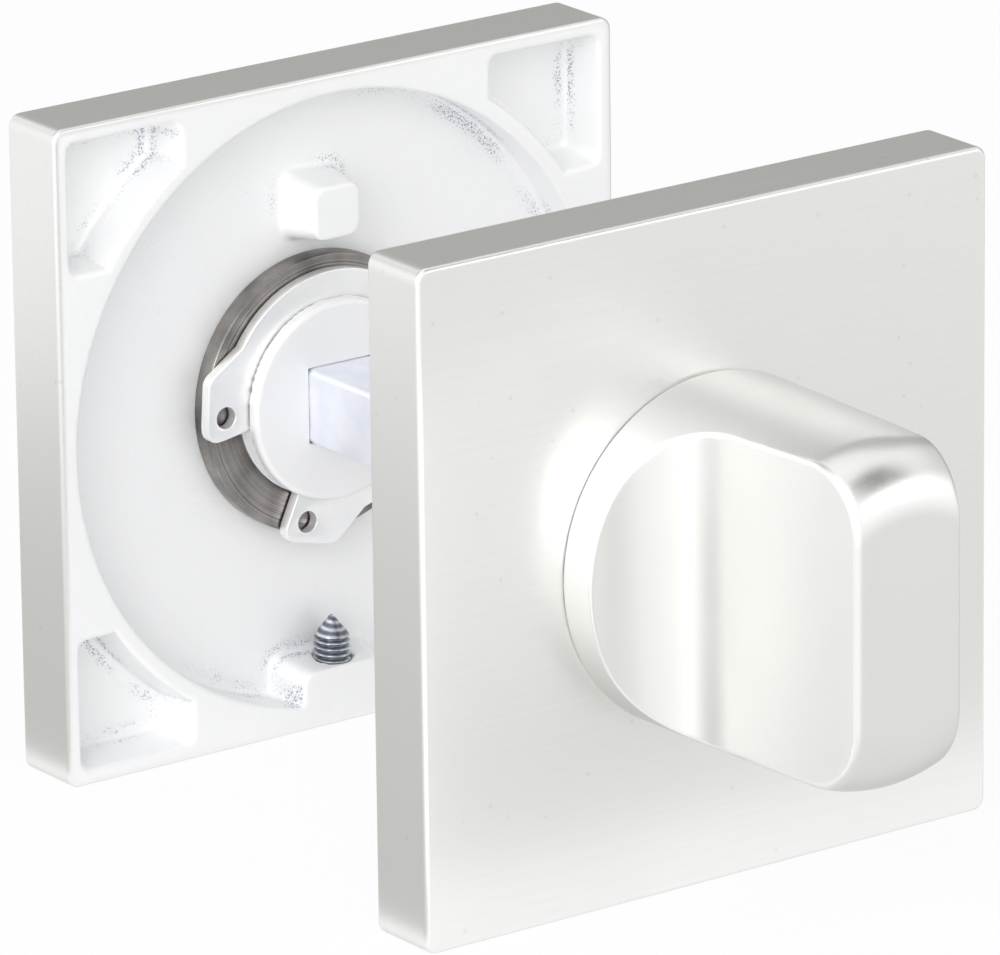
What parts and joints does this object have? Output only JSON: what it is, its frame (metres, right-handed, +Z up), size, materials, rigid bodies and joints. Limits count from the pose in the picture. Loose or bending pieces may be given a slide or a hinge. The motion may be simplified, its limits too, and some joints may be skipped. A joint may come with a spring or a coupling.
{
  "type": "bathroom thumb turn lock",
  "caption": "Bathroom privacy set on square roses: a scooped thumb turn and a coin-slot release, joined by a square spindle across the gap that the door fills.",
  "frame": {"origin": "on the spindle's axis, in the plane of the turn rose's back, where it lies on the door", "axes": "+Y along the spindle from the thumb turn's side through the door, +Z up along the upright blade, +X to the right as seen from the thumb turn's side"},
  "size_m": [0.052, 0.0795, 0.052],
  "materials": {
    "satin_nickel": "satin nickel plate on a zinc casting",
    "dark_steel": "dark oiled steel",
    "spring_steel": "bright spring steel",
    "black_steel": "black oxide",
    "zinc_plated_steel": "pale zinc plate"
  },
  "bodies": {
    "roses": {"turn_rose": "satin_nickel", "turn_bush": "dark_steel", "turn_grub_screw": "black_steel", "release_rose": "satin_nickel", "release_bush": "dark_steel", "release_grub_screw": "black_steel"},
    "turning_set": {"thumb_turn": "satin_nickel", "turn_circlip": "spring_steel", "spindle": "zinc_plated_steel", "release_button": "satin_nickel", "release_circlip": "spring_steel"}
  },
  "joints": [
    {"name": "turn", "type": "hinge", "parent": "roses", "child": "turning_set", "pos_m": [0, 0, 0], "axis": [0, 1, 0], "range_deg": [0, 90]}
  ]
}
